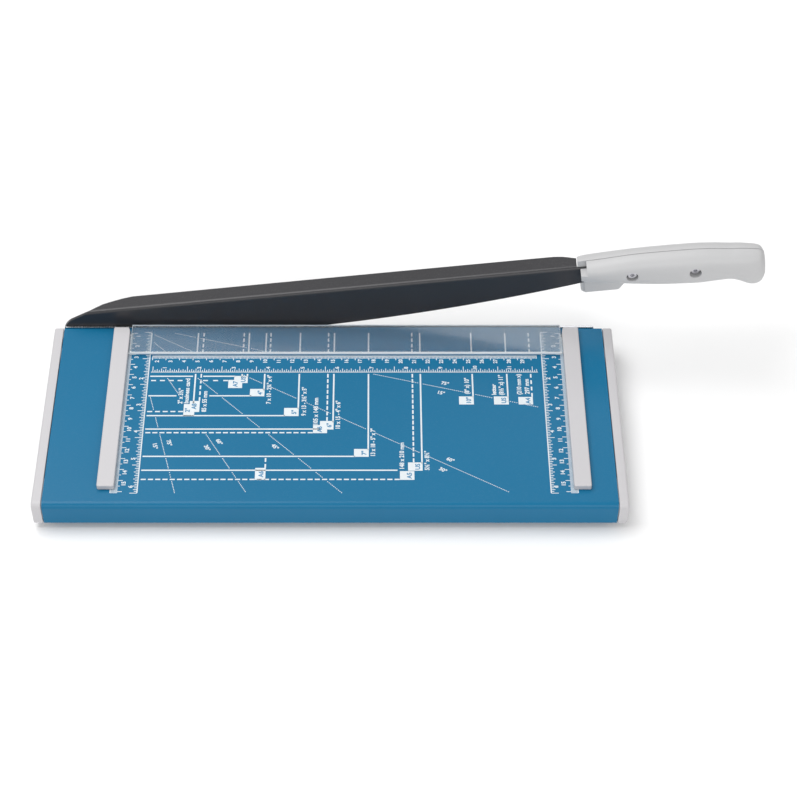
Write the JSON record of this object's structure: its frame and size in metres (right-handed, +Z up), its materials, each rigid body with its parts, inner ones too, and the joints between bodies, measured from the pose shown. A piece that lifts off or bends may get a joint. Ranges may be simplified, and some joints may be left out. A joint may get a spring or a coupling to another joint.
{
  "type": "paper cutter",
  "caption": "Desk paper cutter: a hinged arm with a curved blade, a clear spring-lifted clamp, side fences and a painted steel table on rubber feet.",
  "frame": {"origin": "middle of the overall box, at the undersides of the feet on the desk", "axes": "+X along the cut from the pivot towards the handle, +Y away from the user, +Z up"},
  "size_m": [0.5242, 0.1864, 0.1055],
  "materials": {
    "blue_paint": "satin powder coat on sheet steel",
    "light_grey_plastic": "satin moulded plastic",
    "handle_plastic": "satin moulded plastic",
    "black_steel": "blackened blade steel with a ground edge",
    "ground_steel": "ground flat",
    "zinc_steel": "zinc plated",
    "spring_steel": "bright spring wire and strip",
    "clear_plastic": "clear sheet with polished edges",
    "black_plastic": "moulded",
    "rubber": "soft black rubber",
    "brass": "turned",
    "white_print": "thin printed ink, for the rulers and formats on the table"
  },
  "bodies": {
    "base": {"clamp_guide_left": "black_plastic", "clamp_guide_right": "black_plastic", "clamp_spring_left": "spring_steel", "clamp_spring_right": "spring_steel", "end_cap_screw_1": "zinc_steel", "end_cap_screw_2": "zinc_steel", "end_cap_screw_3": "zinc_steel", "end_cap_screw_4": "zinc_steel", "fence_screw_left_front": "zinc_steel", "fence_screw_left_rear": "zinc_steel", "fence_screw_right_front": "zinc_steel", "fence_screw_right_rear": "zinc_steel", "foot_1": "rubber", "foot_2": "rubber", "foot_3": "rubber", "foot_4": "rubber", "left_end_cap": "light_grey_plastic", "left_fence": "light_grey_plastic", "lower_blade": "ground_steel", "lower_blade_nut_1": "zinc_steel", "lower_blade_nut_2": "zinc_steel", "lower_blade_nut_3": "zinc_steel", "lower_blade_nut_4": "zinc_steel", "lower_blade_screw_1": "zinc_steel", "lower_blade_screw_2": "zinc_steel", "lower_blade_screw_3": "zinc_steel", "lower_blade_screw_4": "zinc_steel", "pivot_bolt": "zinc_steel", "pivot_disc_spring": "spring_steel", "pivot_head_washer": "zinc_steel", "pivot_nut": "zinc_steel", "pivot_nut_washer": "zinc_steel", "pivot_plate": "zinc_steel", "right_end_cap": "light_grey_plastic", "right_fence": "light_grey_plastic", "table": "blue_paint"},
    "arm": {"arm": "black_steel", "pivot_bush": "brass", "handle_front_half": "handle_plastic", "handle_rear_half": "handle_plastic", "handle_screw_1": "zinc_steel", "handle_screw_2": "zinc_steel", "handle_nut_1": "zinc_steel", "handle_nut_2": "zinc_steel"},
    "clamp": {"clamp_plate": "clear_plastic", "clamp_post_left": "zinc_steel", "clamp_post_right": "zinc_steel", "clamp_stop_washer_left": "zinc_steel", "clamp_stop_washer_right": "zinc_steel", "clamp_stop_screw_left": "zinc_steel", "clamp_stop_screw_right": "zinc_steel"}
  },
  "joints": [
    {"name": "arm_hinge", "type": "hinge", "parent": "base", "child": "arm", "pos_m": [-0.24058, 0.07842, 0.018], "axis": [0, -1, 0], "range_deg": [-7.3, 52.5]},
    {"name": "clamp_press", "type": "slide", "parent": "base", "child": "clamp", "axis": [0, 0, -1], "range_m": [0, 0.0012], "stiffness_N_per_m": 400, "springref_m": -0.004, "deforming": ["clamp_spring_left", "clamp_spring_right"]}
  ]
}
